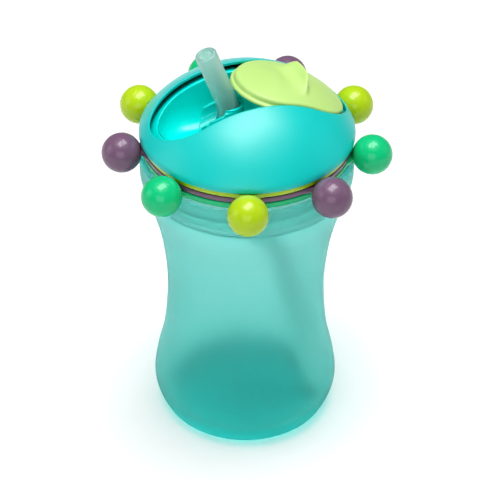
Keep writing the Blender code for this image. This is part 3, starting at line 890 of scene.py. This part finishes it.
def make_cover():
    """The cover, drawn pointing up about the lid's centre: cap, groove, flange and hollow underside."""
    hollow_w, edge, groove, lip, ease = 15.2, 0.9, 0.35, 0.5, 0.4
    rows = [cap_row(w) for w in np.linspace(0, CAP_HALF_WIDTH - edge, 34)]
    for a in np.linspace(0, math.pi / 2, 7)[1:]:
        half_width = CAP_HALF_WIDTH - edge + edge * math.sin(a)
        rows.append(cover_ring(half_width, DOME_R - edge + edge * math.cos(a)))
    for a in np.linspace(0, math.pi / 2, 5):
        half_width = CAP_HALF_WIDTH + groove - groove * math.cos(a)
        rows.append(cover_ring(half_width, FLANGE_TOP_R + groove - groove * math.sin(a)))
    middle = (FLANGE_TOP_R + FLANGE_UNDER_R) / 2
    for a in np.linspace(0, math.pi, 9):
        rows.append(cover_ring(FLANGE_HALF_WIDTH - lip + lip * math.sin(a), middle + lip * math.cos(a)))
    rows += [cover_ring(hollow_w, FLANGE_UNDER_R), cover_ring(hollow_w, CAP_UNDER_R - ease)]
    rows.append(cover_ring(hollow_w - ease, CAP_UNDER_R))
    rows += [cover_ring(w, CAP_UNDER_R) for w in np.linspace(hollow_w - 1.5, 0, 10)]
    cover = skin("slide_cover_shell", rows, COVER_LIME)
    place = Matrix.Translation((0, 0, SPHERE_Z * MM)) @ Matrix.Rotation(SLOT_TURN, 4, "Z")
    cover.data.transform(place @ Matrix.Rotation(COVER_TILT, 4, "Y"))
    return cover


# ---- straw ----------------------------------------------------------------------------------------------


STRAW_PIVOT = np.array([STRAW_U, 0.0, STRAW_PIVOT_Z])
STRAW_AXIS = np.array([-math.sin(STRAW_LEAN), 0.0, math.cos(STRAW_LEAN)])
UP = np.array([0.0, 0.0, 1.0])


def make_spout():
    """The soft drinking straw: up through the boss, then leaning from its elbow to a rounded open tip."""
    bend, lip = 5.0, (SPOUT_R - SPOUT_BORE_R) / 2
    path = [STRAW_PIVOT + STRAW_AXIS * d for d in np.linspace(SPOUT_LENGTH - lip, bend, 26)]
    start, end = STRAW_PIVOT + STRAW_AXIS * bend, STRAW_PIVOT - UP * bend
    for t in np.linspace(0, 1, 14)[1:]:
        path.append(start * (1 - t) ** 2 + STRAW_PIVOT * 2 * t * (1 - t) + end * t * t)
    path += [STRAW_PIVOT - UP * d for d in np.linspace(6.0, 17.0, 8)]
    path = spun(path, SLOT_TURN)
    return swept("straw_spout_silicone", path, SPOUT_R, SPOUT_BORE_R, SPOUT_CLEAR, around=48)


def make_tube():
    """The lower straw: down from the nipple, one easy bend, then straight to the cup's far corner."""
    handle = 18.0
    top = spun([STRAW_U, 0.0, 0.0], SLOT_TURN)
    start, bend_end, foot = top + UP * TUBE_BEND_TOP, np.array(TUBE_BEND_END), np.array(TUBE_FOOT)
    slant = (foot - bend_end) / np.linalg.norm(foot - bend_end)
    first, second = start - UP * handle, bend_end - slant * handle
    path = [top + UP * z for z in np.linspace(TUBE_TOP, TUBE_BEND_TOP + 1.0, 5)]
    for t in np.linspace(0, 1, 28):
        s = 1 - t
        path.append(start * s**3 + first * 3 * s * s * t + second * 3 * s * t * t + bend_end * t**3)
    path += [bend_end + (foot - bend_end) * t for t in np.linspace(0, 1, 20)[1:]]
    return swept("straw_tube_silicone", path, TUBE_R, TUBE_BORE_R, TUBE_MILKY)


def make_root():
    """The straw's root under the recess: a flange and a nipple that the lower straw pushes onto."""
    corners = [(4.3, 133.0), (4.4, 131.7), (6.2, 131.7), (6.2, 129.9), (2.6, 129.9), (2.6, 122.0)]
    corners += [(1.8, 122.0), (1.8, 133.0), (4.2, 133.0)]
    profile = softened(corners, [0.1, 0.3, 0.4, 0.2, 0.3, 0.2, 0.1])
    root = turned("spout_root_silicone", profile, TUBE_MILKY, closed=True, around=40)
    root.data.transform(Matrix.Rotation(SLOT_TURN, 4, "Z") @ Matrix.Translation((STRAW_U * MM, 0, 0)))
    return root


# ---- rings and beads ------------------------------------------------------------------------------------


def ring_outline():
    """Angle and outer radius round a ring: three flared tabs, each running on as a tongue into its bead."""
    tab = [(9.2, RING_OUTER_R), (8.2, 41.95), (7.0, 42.15), (5.8, 42.35), (4.9, 42.6), (4.2, 42.95)]
    tab += [(3.75, 43.6), (3.45, 45.0), (3.2, 47.0), (3.05, 48.4), (2.6, 49.0), (1.2, 49.0)]
    tab = [(-a, r) for a, r in tab] + [(a, r) for a, r in tab[::-1]]
    between = [(a, RING_OUTER_R) for a in np.linspace(10.5, 109.5, 60)]
    points = [(a + 120 * k, r) for k in range(3) for a, r in tab + between]
    return np.array(points).T


def make_ring(colour):
    low, high = (corner[2] for corner in extent(f"ring_{colour}"))
    angles, outer = ring_outline()
    angles = np.radians(angles) + bead_angle(colour, 1)
    ease, tongue_inset = 0.35, 0.15
    inset = np.clip((outer - 42.6) / 0.8, 0, 1) * tongue_inset
    rows = []
    for a in np.linspace(90, -90, 7):
        t = math.radians(a)
        middle = high - ease - inset if a >= 0 else low + ease + inset
        z = middle + ease * math.sin(t)
        rows.append((outer - ease + ease * math.cos(t), z))
    inner = [(RING_INNER_R + ease, low), (RING_INNER_R, low + ease)]
    inner += [(RING_INNER_R, high - ease), (RING_INNER_R + ease, high)]
    rows += [(np.full(len(outer), r), np.full(len(outer), z)) for r, z in inner]
    rings = [np.column_stack([r * np.cos(angles), r * np.sin(angles), z]) for r, z in rows]
    return skin(f"ring_{colour}_plastic", rings, BEAD_LOOKS[colour], closed=True)


def bead_angle(colour, number):
    low, high = extent(f"ball_{colour}_{number}")
    middle = (low + high) / 2
    return math.atan2(middle[1], middle[0])


def bead_frame(angle):
    """Turns a bead, made with its pole at +Z, so that the pole faces the ring and local +X is up."""
    inward = Vector((-math.cos(angle), -math.sin(angle), 0.0))
    up = Vector(UP)
    centre = Vector((BALL_ORBIT_R * math.cos(angle), BALL_ORBIT_R * math.sin(angle), BALL_Z))
    facing = Matrix((up, inward.cross(up), inward)).transposed().to_4x4()
    return Matrix.Translation(centre * MM) @ facing


def make_bead(colour, number):
    """A bead turned about the pole that faces the ring, with a fine joint line and a slot for the tongue."""
    seam_depth, seam_width, slot_half, slot_gap, slot_floor = 0.045, 0.012, 2.9, 0.25, 0.9
    spans = [np.linspace(90, 2.5, 50), np.linspace(2.0, -2.0, 9), np.linspace(-2.5, -90, 50)]
    profile = []
    for latitude in np.radians(np.concatenate(spans)):
        r = BALL_R - seam_depth * math.exp(-((latitude / seam_width) ** 2))
        profile.append((max(r * math.cos(latitude), 0.0), r * math.sin(latitude)))
    name = f"bead_{colour}_{number}"
    ball = turned(name, profile, BEAD_LOOKS[colour], around=96)
    low, high = (corner[2] - BALL_Z for corner in extent(f"ring_{colour}"))
    low, high = low - slot_gap, high + slot_gap
    outline = [(low, -slot_half), (high, -slot_half), (high, slot_half), (low, slot_half)]
    slot = box_cutter(outline, slot_floor, BALL_R + 3)
    step = ball.modifiers.new("slot", "BOOLEAN")
    step.object = slot
    step.operation = "DIFFERENCE"
    mesh = evaluated_mesh(ball)
    bpy.data.objects.remove(ball)
    bpy.data.objects.remove(slot)
    mesh.set_sharp_from_angle(angle=math.radians(50))
    mesh.transform(bead_frame(bead_angle(colour, number)))
    mesh.name = name
    return placed(mesh.name, mesh)


# ---- assembly -------------------------------------------------------------------------------------------


def install(piece, body, slot, *nodes):
    """Hangs a piece on the body that it moves with, and says which nodes it stands for. Its slot is not
    used.
    """
    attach(piece, body)
    if nodes:
        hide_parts(*nodes)


install(make_cup(), "cup", "frosted_cup", "cup_body")
install(make_pad(), "cup", "pad_teal", "base_pad")
install(make_seal(), "seal_carrier", "silicone_clear", "lid_seal")
install(make_collar(), "lid", "frosted_cup", "screw_collar")
install(make_dome(), "lid", "lid_teal", "lid_dome")
install(make_lid_base(), "lid", "lid_teal", "lid_base")
install(make_boss(), "lid", "lid_teal")
install(make_valve(), "lid", "silicone_clear", "vent_valve")
install(make_root(), "lid", "silicone_clear")
install(make_tube(), "lid", "silicone_clear", "straw_tube")
install(make_cover(), "cover", "cover_lime", "slide_cover")

spout = make_spout()
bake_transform(spout)
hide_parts("straw_spout", "spout_base")

for colour in COLOURS:
    install(make_ring(colour), f"{colour}_ring", f"ball_{colour}", f"ring_{colour}")
    for number in (1, 2, 3):
        install(make_bead(colour, number), f"{colour}_ring", f"ball_{colour}", f"ball_{colour}_{number}")

# ---- stage, light and camera ----------------------------------------------------------------------------


def make_floor():
    """A pale, level floor that looks a little brighter than its light makes it."""
    shader = Shader("floor_paper", IOR=1.3, Emission_Strength=0.12)
    fibre = shader.noise(240.0, 4.0, 0.6)
    rays = shader.node("ShaderNodeLightPath", {}, {})
    seen = (rays.value("Is Camera Ray") + rays.value("Is Transmission Ray")).clamped()
    shader.feed(
        Base_Color=shader.blend(fibre.between(0.3, 0.7), (0.92, 0.92, 0.92), (0.90, 0.90, 0.90)),
        Emission_Color=shader.blend(seen, (0.0, 0.0, 0.0), (1.0, 1.0, 1.0)),
        Roughness=0.75 + fibre * 0.1,
        Normal=shader.bump(fibre, 0.05, 0.0002),
    )
    bm = bmesh.new()
    bmesh.ops.create_grid(bm, x_segments=40, y_segments=40, size=4.0)
    new_piece("floor", mesh_from("floor", bm), shader.material)


SOFTBOXES = {  # place and what it faces in metres, width, height and power
    "overhead_softbox": ((0.02, 0.02, 1.30), (0, 0, 0.10), 0.62, 0.95, 10.0),
    "front_softbox": ((-0.25, -2.20, 1.00), (0, 0, 0.10), 1.9, 1.5, 11.0),
    "left_fill": ((-2.30, -0.20, 0.90), (0, 0, 0.08), 1.4, 1.4, 6.0),
    "right_fill": ((2.30, 0.30, 0.90), (0, 0, 0.08), 1.4, 1.4, 1.8),
}


def softbox(name, place, target, width, height, power):
    light = bpy.data.lights.new(name, "AREA")
    light.shape = "RECTANGLE"
    light.size = width
    light.size_y = height
    light.energy = power
    lamp = placed(name, light)
    lamp.location = place
    lamp.rotation_euler = (Vector(target) - Vector(place)).to_track_quat("-Z", "Y").to_euler()


def make_backdrop():
    """A white world that the camera sees brighter than the light it gives."""
    world = bpy.data.worlds.new("studio")
    tree = Tree(world)
    white = (1.0, 1.0, 1.0, 1.0)
    seen = tree.node("ShaderNodeBackground", {}, {"Strength": 1.0, "Color": white})
    ambient = tree.node("ShaderNodeBackground", {}, {"Strength": 0.14, "Color": white})
    rays = tree.node("ShaderNodeLightPath", {}, {})
    ends = {0: rays.out("Is Camera Ray"), 1: ambient.out("Background"), 2: seen.out("Background")}
    choice = tree.node("ShaderNodeMixShader", {}, ends)
    tree.join(choice.out("Shader"), world.node_tree.nodes["World Output"].inputs["Surface"])
    bpy.context.scene.world = world


def make_light():
    """An overhead softbox, a tall one in front, weak fills on both sides and a broad ceiling."""
    for name, values in SOFTBOXES.items():
        softbox(name, *values)
    ceiling = bpy.data.lights.new("ceiling", "SUN")
    ceiling.angle = math.radians(70)
    ceiling.energy = 0.9
    placed("ceiling", ceiling)


def make_camera():
    """A long lens from above the front, tipped a little to one side."""
    elevation, roll, distance = math.radians(37.9), 0.0090, 0.900
    target = Vector((0.0, 0.0, 0.075))
    back = Vector((0.0, -math.cos(elevation), math.sin(elevation)))
    up = Vector((0.0, math.sin(elevation), math.cos(elevation)))
    data = bpy.data.cameras.new("camera")
    data.lens = 163.2
    data.sensor_width = 36.0
    data.shift_x = -0.0127
    data.shift_y = 0.0261
    data.clip_start = 0.05
    camera = placed("camera", data)
    axes = Matrix((up.cross(back), up, back)).transposed().to_4x4()
    camera.matrix_world = Matrix.Translation(target + back * distance) @ axes @ Matrix.Rotation(roll, 4, "Z")
    bpy.context.scene.camera = camera


make_floor()
make_backdrop()
make_light()
make_camera()
bpy.context.scene.view_settings.view_transform = "Standard"
bpy.context.scene.view_settings.look = "Medium High Contrast"
